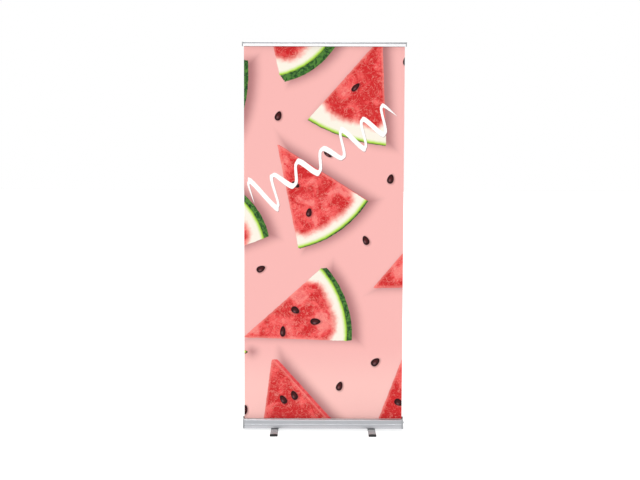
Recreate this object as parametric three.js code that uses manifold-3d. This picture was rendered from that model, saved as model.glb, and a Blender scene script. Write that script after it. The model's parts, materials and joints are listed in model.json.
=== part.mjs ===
// Roll-up banner stand: a spring-roller cassette on two swivel feet, a printed film pulled up to a
// hinged clamp rail, and a three-section pole behind it that carries the rail.
// Millimetres, +Z up. X runs along the cassette, -Y is the printed side. The origin is on the floor,
// midway between the ends of the cassette and on the line through both foot pivots.
import * as THREE from "three";
import { mergeVertices } from "three/addons/utils/BufferGeometryUtils.js";
import Module from "manifold-3d";

const wasm = await Module();
wasm.setup();

// ---- Driving dimensions ----
const FILM_WIDTH = 850; // the printed film is the usual 850 x 2000 mm format
const FILM_THICKNESS = 0.25;
const STAND_HEIGHT = 2073; // floor to the top of the clamp rail
const RAIL_HEIGHT = 22;
const RAIL_LENGTH = 860; // without its end caps
const CASSETTE_LENGTH = 854; // the extrusion, without its end caps
const CASSETTE_HALF_DEPTH = 44;
const CASSETTE_HEIGHT = 47;
const CASSETTE_UNDERSIDE = 12.5; // above the floor
const CASSETTE_WALL = 1.6;
const FOOT_SPACING = 520;
const FOOT_LENGTH = 310; // over its end caps
const FOOT_WIDTH = 40;
const ROLLER_Y = -20;
const ROLLER_Z = CASSETTE_UNDERSIDE + 23.5;
const ROLLER_RADIUS = 13;
const LEADER_RADIUS = 13.7; // outside of the leader turns that stay on the roller
const POLE_Y = 21;
const POLE_RADIUS = 10;
const POLE_WALL = 1.2;
const POLE_BOTTOM = 20.5;
const POLE_TOP = STAND_HEIGHT - 7;
const POLE_SECTIONS = 3;
const SEAM = 0.2; // gap between parts that meet face to face
const RUNNING = 0.08; // radial clearance of a shaft in its bore
const ROUND = 24; // sides of a small round part
const TUBE_ROUND = 32; // sides of a tube

// ---- Places worked out from them ----
const CASSETTE_TOP = CASSETTE_UNDERSIDE + CASSETTE_HEIGHT;
const RAIL_BASE = STAND_HEIGHT - RAIL_HEIGHT;
const FILM_Y = ROLLER_Y + LEADER_RADIUS + FILM_THICKNESS; // clear of the leader turns by half a film
const FILM_BOTTOM = ROLLER_Z; // where the film meets the roller
const FILM_TOP = RAIL_BASE + 16;
const SLOT_FRONT = FILM_Y - 4;
const SLOT_REAR = FILM_Y + 4;
const SECTION_LENGTH = (POLE_TOP - POLE_BOTTOM) / POLE_SECTIONS;

// ---- Colours ----
const SILVER = { color: 0xb9bbbe, roughness: 0.38, metalness: 0.9 };
const BRIGHT_SILVER = { color: 0xe6e7e8, roughness: 0.35, metalness: 0.6 };
const STEEL = { color: 0x9a9c9f, roughness: 0.3, metalness: 1.0 };
const BLACK_PLASTIC = { color: 0x1d1d1f, roughness: 0.6, metalness: 0.0 };
const GREY_PLASTIC = { color: 0xa4a6a9, roughness: 0.5, metalness: 0.0 };
const WHITE_PLASTIC = { color: 0xe8e8e6, roughness: 0.5, metalness: 0.0 };
const FILM_PINK = { color: 0xf4bdb8, roughness: 0.45, metalness: 0.0 };
const CLEAR_LEADER = { color: 0xd9dcdc, roughness: 0.3, metalness: 0.0 };
const RUBBER = { color: 0x141414, roughness: 0.8, metalness: 0.0 };

const stand = new THREE.Group();

function part(name, geometry, finish) {
  const mesh = new THREE.Mesh(geometry, new THREE.MeshStandardMaterial(finish));
  mesh.name = name;
  stand.add(mesh);
  return mesh;
}

// ---- Solids and booleans ----
function solidOf(geometry) {
  const bare = geometry.index ? geometry.toNonIndexed() : geometry.clone();
  bare.deleteAttribute("normal");
  bare.deleteAttribute("uv");
  const merged = mergeVertices(bare, 1e-4);
  const mesh = new wasm.Mesh({
    numProp: 3,
    vertProperties: merged.attributes.position.array,
    triVerts: new Uint32Array(merged.index.array),
  });
  return new wasm.Manifold(mesh);
}

function geometryOf(solid) {
  const mesh = solid.getMesh();
  return new THREE.BufferGeometry()
    .setAttribute("position", new THREE.BufferAttribute(mesh.vertProperties, 3))
    .setIndex(new THREE.BufferAttribute(mesh.triVerts, 1));
}

function join(...geometries) {
  return geometryOf(geometries.map(solidOf).reduce((all, next) => all.add(next)));
}

function cut(geometry, ...tools) {
  return geometryOf(tools.map(solidOf).reduce((left, tool) => left.subtract(tool), solidOf(geometry)));
}

// ---- Basic shapes ----
const ALONG_X = new THREE.Matrix4().makeBasis(
  new THREE.Vector3(0, 1, 0),
  new THREE.Vector3(0, 0, 1),
  new THREE.Vector3(1, 0, 0),
);
const ALONG_Y = new THREE.Matrix4().makeRotationX(Math.PI / 2);

// A (y, z) outline drawn out from x0 to x1.
function prismX(shape, x0, x1, options = {}) {
  const geometry = new THREE.ExtrudeGeometry(shape, { depth: x1 - x0, bevelEnabled: false, ...options });
  return geometry.applyMatrix4(ALONG_X).translate(x0, 0, 0);
}

// An (x, z) outline drawn out from y0 to y1.
function prismY(shape, y0, y1, options = {}) {
  const geometry = new THREE.ExtrudeGeometry(shape, { depth: y1 - y0, bevelEnabled: false, ...options });
  return geometry.applyMatrix4(ALONG_Y).translate(0, y1, 0);
}

// An (x, y) outline drawn up from z0 to z1.
function prismZ(shape, z0, z1, options = {}) {
  const geometry = new THREE.ExtrudeGeometry(shape, { depth: z1 - z0, bevelEnabled: false, ...options });
  return geometry.translate(0, 0, z0);
}

function outline(points) {
  return new THREE.Shape(points.map(([a, b]) => new THREE.Vector2(a, b)));
}

function ring(outer, inner) {
  const shape = new THREE.Shape().absarc(0, 0, outer, 0, Math.PI * 2);
  if (inner > 0) shape.holes.push(new THREE.Path().absarc(0, 0, inner, 0, Math.PI * 2, true));
  return shape;
}

// A tube, or a rod where inner is 0, along X with its middle line at (y, z).
function tubeX(outer, inner, x0, x1, y, z, sides = ROUND) {
  return prismX(ring(outer, inner), x0, x1, { curveSegments: sides / 2 }).translate(0, y, z);
}

function tubeZ(outer, inner, z0, z1, x, y, sides = ROUND) {
  return prismZ(ring(outer, inner), z0, z1, { curveSegments: sides / 2 }).translate(x, y, 0);
}

function block(x0, x1, y0, y1, z0, z1) {
  return new THREE.BoxGeometry(x1 - x0, y1 - y0, z1 - z0).translate(
    (x0 + x1) / 2,
    (y0 + y1) / 2,
    (z0 + z1) / 2,
  );
}

// A lathed part about +Z from a list of [radius, z] that starts and ends on the axis, lowest first.
function turned(profile, sides = ROUND) {
  const points = profile.map(([r, z]) => new THREE.Vector2(r, z));
  return new THREE.LatheGeometry(points, sides).rotateX(Math.PI / 2);
}

function roundedRectangle(x0, x1, y0, y1, r) {
  const shape = new THREE.Shape();
  shape.moveTo(x0 + r, y0);
  shape.lineTo(x1 - r, y0).absarc(x1 - r, y0 + r, r, -Math.PI / 2, 0);
  shape.lineTo(x1, y1 - r).absarc(x1 - r, y1 - r, r, 0, Math.PI / 2);
  shape.lineTo(x0 + r, y1).absarc(x0 + r, y1 - r, r, Math.PI / 2, Math.PI);
  shape.lineTo(x0, y0 + r).absarc(x0 + r, y0 + r, r, Math.PI, Math.PI * 1.5);
  return shape;
}

// The line of points moved to its left by distance, with mitred corners.
function offsetLine(points, distance) {
  return points.map((point, i) => {
    const before = points[Math.max(i - 1, 0)];
    const after = points[Math.min(i + 1, points.length - 1)];
    const into = point.clone().sub(i > 0 ? before : point);
    const out = after.clone().sub(point);
    if (into.lengthSq() === 0) into.copy(out);
    if (out.lengthSq() === 0) out.copy(into);
    const normalIn = new THREE.Vector2(-into.y, into.x).normalize();
    const normalOut = new THREE.Vector2(-out.y, out.x).normalize();
    const bisector = normalIn.clone().add(normalOut).normalize();
    return point.clone().addScaledVector(bisector, distance / bisector.dot(normalIn));
  });
}

// ---- Cassette ----
// The outside of the cassette from the front lip of its slot, down the front and up the back to
// the rear lip, in (y, height above its underside).
function cassetteOutside() {
  const half = CASSETTE_HALF_DEPTH;
  const top = CASSETTE_HEIGHT;
  const line = new THREE.Path();
  line.moveTo(SLOT_FRONT, top);
  line.lineTo(-29, top);
  line.quadraticCurveTo(-33, top, -34.3, 43);
  line.lineTo(-41, 24.5);
  line.quadraticCurveTo(-half, 17, -half, 10);
  line.lineTo(-half, 6);
  line.quadraticCurveTo(-half, 0, -38, 0);
  line.lineTo(38, 0);
  line.quadraticCurveTo(half, 0, half, 6);
  line.lineTo(half, 30);
  line.quadraticCurveTo(half, 45, 37, top);
  line.lineTo(SLOT_REAR, top);
  return line.getPoints(6);
}

const SCREW_CHANNELS = [
  [-38.6, 4.6],
  [38.6, 4.6],
  [38.4, 39.2],
]; // (y, height above the underside)
const CHANNEL_BORE = 1.7;
const SOCKET_RADIUS = 13;
const PIVOT_HOLE = 2.58;
const SIDES = [
  ["left", -1],
  ["right", 1],
];
const FEET = SIDES.map(([name, side]) => [name, (side * FOOT_SPACING) / 2]);

function cassetteHousing() {
  const x = CASSETTE_LENGTH / 2;
  const outside = cassetteOutside();
  const inside = offsetLine(outside, CASSETTE_WALL);
  const wall = prismX(new THREE.Shape([...outside, ...inside.reverse()]), -x, x);
  const bosses = SCREW_CHANNELS.map(([y, z]) => tubeX(3.5, 0, -x, x, y, z));
  const grooveSide = 1.3;
  const diamond = outline([
    [-grooveSide, 0],
    [0, -grooveSide],
    [grooveSide, 0],
    [0, grooveSide],
  ]);
  const groove = prismX(diamond, -x - 1, x + 1);
  groove.translate(0, -41.4, 24.5);
  const channels = SCREW_CHANNELS.map(([y, z]) => tubeX(CHANNEL_BORE, 0, -x - 1, x + 1, y, z));
  const poleHole = tubeZ(SOCKET_RADIUS + SEAM, 0, 40, 50, 0, POLE_Y, TUBE_ROUND);
  const pivotHoles = FEET.map(([, footX]) => tubeZ(PIVOT_HOLE, 0, -1, 3, footX, 0));
  const housing = cut(join(wall, ...bosses), groove, ...channels, poleHole, ...pivotHoles);
  return housing.translate(0, 0, CASSETTE_UNDERSIDE);
}
part("cassette_housing", cassetteHousing(), SILVER);

// Side plates that close the extrusion and carry the roller. A rim laps over the extrusion, and the
// right one has a small lip to lift the cassette by.
const END_CAP_THICKNESS = 4.5;
const END_CAP_OVERHANG = 1;
const END_CAP_RIM = 5;
const AXLE_RADIUS = 3;
const SCREW_HEAD = [2.8, 2];

function cassetteEndCap(side) {
  const x0 = CASSETTE_LENGTH / 2 + SEAM;
  const x1 = x0 + END_CAP_THICKNESS;
  const edge = 0.8;
  const plateOutline = new THREE.Shape(offsetLine(cassetteOutside(), -END_CAP_OVERHANG + edge));
  const plate = prismX(plateOutline, x0, x1 - edge, {
    bevelEnabled: true,
    bevelSize: edge,
    bevelThickness: edge,
    bevelSegments: 2,
  });
  // The bevel is kept on the outer face only.
  const innerSide = block(x0 - 5, x0, -60, 60, -5, 60);
  const rimOutside = offsetLine(cassetteOutside(), -END_CAP_OVERHANG);
  const rimInside = offsetLine(cassetteOutside(), -SEAM);
  const rim = prismX(new THREE.Shape([...rimOutside, ...rimInside.reverse()]), x0 - END_CAP_RIM, x0 + 1);
  const lip = side > 0 ? [block(x1 - 1, x1 + 3, -37, -25, 30, 37)] : [];
  const screwHoles = SCREW_CHANNELS.map(([y, z]) => tubeX(CHANNEL_BORE, 0, x0 - 1, x1 + 1, y, z));
  const headSeats = SCREW_CHANNELS.map(([y, z]) => tubeX(SCREW_HEAD[0] + 0.3, 0, x1 - 2, x1 + 1, y, z));
  const axleBore = tubeX(AXLE_RADIUS + RUNNING, 0, x0 - 1, x1 + 1, ROLLER_Y, ROLLER_Z - CASSETTE_UNDERSIDE);
  const cap = cut(join(cut(plate, innerSide), rim, ...lip), ...screwHoles, ...headSeats, axleBore);
  cap.translate(0, 0, CASSETTE_UNDERSIDE);
  return side < 0 ? mirroredX(cap) : cap;
}

// The same solid on the other side of the middle plane, its faces turned to point out again.
function mirroredX(geometry) {
  const flipped = geometry.clone().scale(-1, 1, 1);
  const index = flipped.index.array;
  for (let i = 0; i < index.length; i += 3) [index[i + 1], index[i + 2]] = [index[i + 2], index[i + 1]];
  return flipped;
}

function endCapScrew([y, height], side) {
  const [headRadius, headHeight] = SCREW_HEAD;
  const shank = 15;
  const screw = turned([
    [0, 0],
    [1.5, 0],
    [1.5, shank],
    [headRadius, shank],
    [headRadius, shank + headHeight * 0.5],
    [headRadius * 0.6, shank + headHeight],
    [0, shank + headHeight],
  ]);
  const seat = CASSETTE_LENGTH / 2 + SEAM + END_CAP_THICKNESS - 2 + SEAM / 2;
  const turn = side < 0 ? -Math.PI / 2 : Math.PI / 2;
  return screw
    .translate(0, 0, seat - shank)
    .rotateY(turn)
    .translate(0, y, CASSETTE_UNDERSIDE + height);
}

for (const [name, side] of SIDES) {
  part(`end_cap_${name}`, cassetteEndCap(side), GREY_PLASTIC);
  SCREW_CHANNELS.forEach((channel, i) => {
    part(`end_cap_screw_${name}_${i + 1}`, endCapScrew(channel, side), STEEL);
  });
}

// Soft strips that clip over the two lips of the slot, so that the print isn't scratched.
function slotTrim(lipY, into) {
  const t = 0.7;
  const reach = 2.6;
  const low = CASSETTE_HEIGHT - CASSETTE_WALL - SEAM;
  const high = CASSETTE_HEIGHT + SEAM / 2;
  const near = lipY + into * (SEAM + t);
  const seat = lipY + into * SEAM;
  const far = lipY - into * reach;
  const shape = outline([
    [far, low - t],
    [near, low - t],
    [near, high + t],
    [far, high + t],
    [far, high],
    [seat, high],
    [seat, low],
    [far, low],
  ]);
  const end = CASSETTE_LENGTH / 2 - END_CAP_RIM - 0.5;
  return prismX(shape, -end, end).translate(0, 0, CASSETTE_UNDERSIDE);
}
part("slot_trim_front", slotTrim(SLOT_FRONT, 1), WHITE_PLASTIC);
part("slot_trim_rear", slotTrim(SLOT_REAR, -1), WHITE_PLASTIC);

// Bumpers at both ends of the slot, which the drawn-down rail comes to rest on.
const STOP_HEIGHT = 72;
const STOP_WIDTH = 5.4;
for (const [name, side] of SIDES) {
  const bottom = CASSETTE_TOP + END_CAP_OVERHANG + SEAM;
  const section = roundedRectangle(SLOT_FRONT, SLOT_REAR, bottom, STOP_HEIGHT, 1.5);
  const middle = side * (FILM_WIDTH / 2 + 0.8 + STOP_WIDTH / 2);
  const stop = prismX(section, middle - STOP_WIDTH / 2, middle + STOP_WIDTH / 2, { curveSegments: 3 });
  part(`rail_stop_${name}`, stop, RUBBER);
}

// ---- Roller and its spring ----
const TUBE_END = FILM_WIDTH / 2 - 1;
const PLUG_LENGTH = 20;
const TUBE_BORE = ROLLER_RADIUS - 1.2;
const SPRING_RIGHT = -150;

part(
  "roller_tube",
  tubeX(ROLLER_RADIUS, TUBE_BORE, -TUBE_END, TUBE_END, ROLLER_Y, ROLLER_Z, TUBE_ROUND),
  SILVER,
);
part(
  "leader_wrap",
  tubeX(LEADER_RADIUS, ROLLER_RADIUS + 0.15, -FILM_WIDTH / 2, FILM_WIDTH / 2, ROLLER_Y, ROLLER_Z, TUBE_ROUND),
  CLEAR_LEADER,
);

// A plug pushed into the roller tube, bored for the axle.
function rollerPlug(x0, x1, bore) {
  return tubeX(TUBE_BORE - 0.1, bore, x0, x1, ROLLER_Y, ROLLER_Z, ROUND);
}
const AXLE_BORE = AXLE_RADIUS + RUNNING;
part("roller_plug_left", rollerPlug(-TUBE_END, -TUBE_END + PLUG_LENGTH, AXLE_BORE), BLACK_PLASTIC);
part("spring_anchor_plug", rollerPlug(SPRING_RIGHT + 2, SPRING_RIGHT + 17, AXLE_BORE), BLACK_PLASTIC);
part("roller_plug_right", rollerPlug(TUBE_END - PLUG_LENGTH, TUBE_END, AXLE_BORE), BLACK_PLASTIC);
part(
  "roller_axle_pin",
  tubeX(AXLE_RADIUS, 0, TUBE_END - PLUG_LENGTH, CASSETTE_LENGTH / 2 + 3, ROLLER_Y, ROLLER_Z),
  STEEL,
);
part(
  "spring_arbor",
  tubeX(AXLE_RADIUS, 0, -CASSETTE_LENGTH / 2 - 4, SPRING_RIGHT + 30, ROLLER_Y, ROLLER_Z),
  STEEL,
);

class Helix extends THREE.Curve {
  constructor(radius, x0, x1, turns) {
    super();
    Object.assign(this, { radius, x0, x1, turns });
  }
  getPoint(t, target = new THREE.Vector3()) {
    const angle = t * this.turns * Math.PI * 2;
    return target.set(
      this.x0 + (this.x1 - this.x0) * t,
      this.radius * Math.cos(angle),
      this.radius * Math.sin(angle),
    );
  }
}

function torsionSpring() {
  const turns = 16;
  const stepsPerTurn = 8;
  const wire = new THREE.Shape().absarc(0, 0, 1, 0, Math.PI * 2);
  const left = -TUBE_END + PLUG_LENGTH + 2;
  const coil = new THREE.ExtrudeGeometry(wire, {
    steps: turns * stepsPerTurn,
    curveSegments: 3,
    extrudePath: new Helix(8, left, SPRING_RIGHT, turns),
  });
  return coil.translate(0, ROLLER_Y, ROLLER_Z);
}
part("torsion_spring", torsionSpring(), STEEL);

// ---- Printed film ----
part(
  "banner",
  block(
    -FILM_WIDTH / 2,
    FILM_WIDTH / 2,
    FILM_Y - FILM_THICKNESS / 2,
    FILM_Y + FILM_THICKNESS / 2,
    FILM_BOTTOM,
    FILM_TOP,
  ),
  FILM_PINK,
);

// ---- Clamp rail ----
// (y, height above the rail's bottom edge). The rear body carries a channel, open at the back, for
// the pole clip, and a round groove along the top of its front for the bead that the jaw hinges on.
const HINGE_Y = -10.6;
const HINGE_HEIGHT = 13.6;
const BEAD_RADIUS = 1.5;
const GROOVE_RADIUS = 1.6;
const ARM_RADIUS = 2.8;
const CHANNEL_REAR = 1;
const JAW_FRONT = -13.5;

function railBody() {
  const x = RAIL_LENGTH / 2;
  const profile = outline([
    [-5.8, 0],
    [-4.1, 0],
    [-4.1, 2],
    [CHANNEL_REAR, 2],
    [CHANNEL_REAR, 7],
    [-0.4, 7],
    [-0.4, 3.4],
    [-4.1, 3.4],
    [-4.1, 18.6],
    [-0.4, 18.6],
    [-0.4, 15],
    [CHANNEL_REAR, 15],
    [CHANNEL_REAR, 20],
    [-0.6, RAIL_HEIGHT],
    [-10.6, RAIL_HEIGHT],
    [-12.6, 20],
    [-12.6, 15.6],
    [-10.9, 15.6],
    [-10.9, 19.4],
    [-9.9, 20.6],
    [-5.8, 20.6],
  ]);
  const arm = tubeX(ARM_RADIUS, 0, -x, x, HINGE_Y, HINGE_HEIGHT);
  const groove = tubeX(GROOVE_RADIUS, 0, -x - 1, x + 1, HINGE_Y, HINGE_HEIGHT);
  // The jaw's neck swings through this wedge.
  const from = THREE.MathUtils.degToRad(125);
  const to = THREE.MathUtils.degToRad(285);
  const wedge = new THREE.Shape().moveTo(0, 0).lineTo(4 * Math.cos(from), 4 * Math.sin(from));
  wedge.absarc(0, 0, 4, from, to).lineTo(0, 0);
  const swing = prismX(wedge, -x - 1, x + 1, { curveSegments: 8 }).translate(0, HINGE_Y, HINGE_HEIGHT);
  return cut(join(prismX(profile, -x, x), arm), groove, swing).translate(0, 0, RAIL_BASE);
}
part("rail_body", railBody(), SILVER);

function railJaw() {
  const x = RAIL_LENGTH / 2 - 0.4;
  const profile = outline([
    [JAW_FRONT, 0.8],
    [JAW_FRONT + 0.8, 0],
    [-7.2, 0],
    [-7.2, 5],
    [-8.4, 5],
    [-8.4, 1.4],
    [-12.1, 1.4],
    [-12.1, 10.2],
    [-10.4, 12.4],
    [-10.6, 13.8],
    [-11.8, 12.6],
    [JAW_FRONT, 11.3],
  ]);
  const bead = tubeX(BEAD_RADIUS, 0, -x, x, HINGE_Y, HINGE_HEIGHT, 16);
  return join(prismX(profile, -x, x), bead).translate(0, 0, RAIL_BASE);
}
part("rail_jaw", railJaw(), BRIGHT_SILVER);
part(
  "jaw_grip_strip",
  block(-FILM_WIDTH / 2, FILM_WIDTH / 2, -7.1, -6.3, RAIL_BASE + 0.6, RAIL_BASE + 4.6),
  RUBBER,
);

function railEndCap(side) {
  const x0 = RAIL_LENGTH / 2 + SEAM / 2;
  const x1 = RAIL_LENGTH / 2 + 5;
  const edge = 1;
  const [front, rear] = [JAW_FRONT - 0.6 + edge, 1.6 - edge];
  const [low, high] = [-0.4 + edge, RAIL_HEIGHT + 0.4 - edge];
  const plate = prismX(roundedRectangle(front, rear, low, high, 1.5), x0, x1 - edge, {
    bevelEnabled: true,
    bevelSize: edge,
    bevelThickness: edge,
    bevelSegments: 2,
    curveSegments: 3,
  });
  const innerSide = block(x0 - 5, x0, -60, 60, -5, 60);
  const plug = block(x0 - 12, x0 + 1, -3.8, -0.7, 3.7, 18.3);
  const cap = join(cut(plate, innerSide), plug).translate(0, 0, RAIL_BASE);
  return side < 0 ? mirroredX(cap) : cap;
}
for (const [name, side] of SIDES) part(`rail_end_cap_${name}`, railEndCap(side), GREY_PLASTIC);

// A fork held in the rail's rear channel. Its two prongs straddle the pole.
const CLIP_HALF_WIDTH = 16;
const CLIP_SLOT_RADIUS = POLE_RADIUS + 0.6;

function poleClip() {
  const w = CLIP_HALF_WIDTH;
  const head = block(-w, w, -3.8, -0.7, 3.9, 18.1);
  const neck = block(-w, w, -1, 2, 7.3, 14.7);
  const prongs = new THREE.Shape();
  prongs.moveTo(-w, 1.3).lineTo(w, 1.3).lineTo(w, 28).lineTo(w - 3, 31).lineTo(CLIP_SLOT_RADIUS, 31);
  prongs.lineTo(CLIP_SLOT_RADIUS, POLE_Y).absarc(0, POLE_Y, CLIP_SLOT_RADIUS, 0, Math.PI, true);
  prongs.lineTo(-CLIP_SLOT_RADIUS, 31).lineTo(-w + 3, 31).lineTo(-w, 28);
  const fork = prismZ(prongs, 5, 17, { curveSegments: ROUND / 4 });
  return join(head, neck, fork).translate(0, 0, RAIL_BASE);
}
part("pole_clip", poleClip(), BLACK_PLASTIC);

// ---- Pole ----
function poleSocket() {
  const floor = CASSETTE_UNDERSIDE + CASSETTE_WALL + SEAM;
  const bore = POLE_RADIUS + 0.25;
  const flange = CASSETTE_TOP + 2;
  const body = turned(
    [
      [0, floor],
      [SOCKET_RADIUS, floor],
      [SOCKET_RADIUS, CASSETTE_TOP + SEAM],
      [16, CASSETTE_TOP + SEAM],
      [16, flange - 0.6],
      [15.4, flange],
      [bore, flange],
      [bore, floor + 3],
      [0, floor + 3],
    ],
    TUBE_ROUND,
  );
  return body.translate(0, POLE_Y, 0);
}
part("pole_socket", poleSocket(), BLACK_PLASTIC);

const FERRULE_REACH = 40;
const SECTION_NAMES = ["lower", "middle", "upper"];
SECTION_NAMES.forEach((name, i) => {
  const from = POLE_BOTTOM + i * SECTION_LENGTH + SEAM;
  const to = POLE_BOTTOM + (i + 1) * SECTION_LENGTH - SEAM;
  const bore = POLE_RADIUS - POLE_WALL;
  part(`pole_tube_${name}`, tubeZ(POLE_RADIUS, bore, from, to, 0, POLE_Y, TUBE_ROUND), SILVER);
  // A ferrule is crimped into the top of every section but the last, and the next section slides on it.
  if (i < POLE_SECTIONS - 1)
    part(
      `pole_ferrule_${name}`,
      tubeZ(bore - RUNNING, 7, to - FERRULE_REACH, to + FERRULE_REACH, 0, POLE_Y, ROUND),
      STEEL,
    );
});

function poleFootPlug() {
  const bore = POLE_RADIUS - POLE_WALL - 0.15;
  return turned([
    [0, POLE_BOTTOM - 3],
    [POLE_RADIUS - 1, POLE_BOTTOM - 3],
    [POLE_RADIUS, POLE_BOTTOM - 2],
    [POLE_RADIUS, POLE_BOTTOM],
    [bore, POLE_BOTTOM],
    [bore, POLE_BOTTOM + 14],
    [0, POLE_BOTTOM + 14],
  ]).translate(0, POLE_Y, 0);
}
part("pole_foot_plug", poleFootPlug(), BLACK_PLASTIC);

function poleTopCap() {
  const bore = POLE_RADIUS - POLE_WALL - 0.15;
  return turned([
    [0, POLE_TOP - 14],
    [bore, POLE_TOP - 14],
    [bore, POLE_TOP],
    [POLE_RADIUS, POLE_TOP],
    [POLE_RADIUS, POLE_TOP + 1.5],
    [POLE_RADIUS * 0.8, POLE_TOP + 3.4],
    [POLE_RADIUS * 0.4, POLE_TOP + 4.4],
    [0, POLE_TOP + 4.7],
  ]).translate(0, POLE_Y, 0);
}
part("pole_top_cap", poleTopCap(), BLACK_PLASTIC);

// The elastic cord through the pole, in two lengths that meet in the middle section.
const CORD_RADIUS = 2;
const CORD_MIDDLE = POLE_BOTTOM + SECTION_LENGTH * 1.5;
part(
  "elastic_cord_lower",
  tubeZ(CORD_RADIUS, 0, POLE_BOTTOM + 14.3, CORD_MIDDLE - SEAM, 0, POLE_Y, 8),
  RUBBER,
);
part(
  "elastic_cord_upper",
  tubeZ(CORD_RADIUS, 0, CORD_MIDDLE + SEAM, POLE_TOP - 14.3, 0, POLE_Y, 8),
  RUBBER,
);

// ---- Swivel feet ----
const BAR_TOP = 10.5; // crown of the bar, above the floor
const BAR_LIP = 2.5; // underside of its side flanges
const BAR_CROWN = 1.6; // how far its long edges lie below the crown
const BAR_WEB = 2.4; // thickness of its top
const CAP_SLEEVE = 7; // how far a cap reaches over the end of the bar
const CAP_NOSE = 5; // how far it stands past that end

// The bar's section in (x, z): a shallow arch over two side flanges.
function footSection(grow) {
  const half = FOOT_WIDTH / 2 + grow;
  const web = BAR_WEB + grow;
  const flange = 2.2;
  const inside = half - flange - grow * 2;
  const shape = new THREE.Shape();
  shape.moveTo(-half, BAR_LIP - grow).lineTo(-inside, BAR_LIP - grow);
  shape.lineTo(-inside, BAR_TOP - BAR_CROWN - web);
  shape.quadraticCurveTo(0, BAR_TOP + BAR_CROWN - web + grow, inside, BAR_TOP - BAR_CROWN - web);
  shape.lineTo(inside, BAR_LIP - grow).lineTo(half, BAR_LIP - grow);
  shape.lineTo(half, BAR_TOP - BAR_CROWN + grow);
  shape.quadraticCurveTo(0, BAR_TOP + BAR_CROWN + grow, -half, BAR_TOP - BAR_CROWN + grow);
  return shape;
}

function footBar() {
  const end = FOOT_LENGTH / 2 - CAP_NOSE;
  const bar = prismY(footSection(0), -end, end, { curveSegments: 8 });
  return cut(bar, tubeZ(PIVOT_HOLE, 0, 0, 15, 0, 0));
}

// A moulded cap over the end of the bar at -Y. It is what stands on the floor.
function footCap() {
  const half = FOOT_WIDTH / 2 + 1;
  const end = -FOOT_LENGTH / 2;
  const shape = new THREE.Shape();
  shape.moveTo(-half + 1.5, 0).lineTo(half - 1.5, 0).lineTo(half, 1.5);
  shape.lineTo(half, BAR_TOP - BAR_CROWN + 0.9);
  shape.quadraticCurveTo(0, BAR_TOP + BAR_CROWN + 1, -half, BAR_TOP - BAR_CROWN + 0.9);
  shape.lineTo(-half, 1.5);
  const shell = prismY(shape, end, end + CAP_NOSE + CAP_SLEEVE, { curveSegments: 8 });
  const pocket = prismY(footSection(SEAM), end + CAP_NOSE - SEAM, end + CAP_NOSE + CAP_SLEEVE + 1, {
    curveSegments: 8,
  });
  // The nose is rounded in plan.
  const nose = new THREE.Shape().moveTo(-half - 2, end - 2).lineTo(half + 2, end - 2);
  nose.lineTo(half + 2, end + 6).lineTo(half, end + 6).quadraticCurveTo(half, end, half - 8, end);
  nose.lineTo(-half + 8, end).quadraticCurveTo(-half, end, -half, end + 6).lineTo(-half - 2, end + 6);
  return cut(shell, pocket, prismZ(nose, -1, 20, { curveSegments: 4 }));
}

// The pivot: a screw up through the foot, a washer, the cassette's floor, a backing plate and a nut.
const PIVOT_RADIUS = 2.5;
const FLOOR_INSIDE = CASSETTE_UNDERSIDE + CASSETTE_WALL;

function pivotScrew() {
  const underWeb = BAR_TOP - BAR_WEB - SEAM * 2;
  return turned([
    [0, underWeb - 2.2],
    [4, underWeb - 2.2],
    [6, underWeb - 1.2],
    [6, underWeb],
    [PIVOT_RADIUS, underWeb],
    [PIVOT_RADIUS, FLOOR_INSIDE + 8],
    [0, FLOOR_INSIDE + 8],
  ]);
}

function pivotNut() {
  const bottom = FLOOR_INSIDE + SEAM + 2 + SEAM;
  return cut(tubeZ(4.6, 0, bottom, bottom + 4, 0, 0, 6), tubeZ(PIVOT_RADIUS + 0.15, 0, 0, 30, 0, 0));
}

for (const [name, x] of FEET) {
  part(`foot_bar_${name}`, footBar().translate(x, 0, 0), SILVER);
  part(`foot_cap_${name}_front`, footCap().translate(x, 0, 0), RUBBER);
  part(`foot_cap_${name}_rear`, footCap().rotateZ(Math.PI).translate(x, 0, 0), RUBBER);
  part(`pivot_screw_${name}`, pivotScrew().translate(x, 0, 0), STEEL);
  part(
    `pivot_washer_${name}`,
    tubeZ(11, PIVOT_HOLE, BAR_TOP + SEAM, CASSETTE_UNDERSIDE - SEAM, x, 0),
    WHITE_PLASTIC,
  );
  const plate = block(-15, 15, -13, 13, FLOOR_INSIDE + SEAM, FLOOR_INSIDE + SEAM + 2);
  part(`pivot_plate_${name}`, cut(plate, tubeZ(PIVOT_HOLE, 0, 0, 30, 0, 0)).translate(x, 0, 0), STEEL);
  part(`pivot_nut_${name}`, pivotNut().translate(x, 0, 0), STEEL);
}

export default stand;
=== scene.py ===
"""The looks of a roll-up banner stand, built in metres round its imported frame.

+X runs along the cassette, -Y is the printed side and Z is up. The film is printed with melon
slices and seeds on pink, under a wavy brush line.
"""

import json
import math

import bmesh
import bpy
from mathutils import Matrix, Vector

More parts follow.
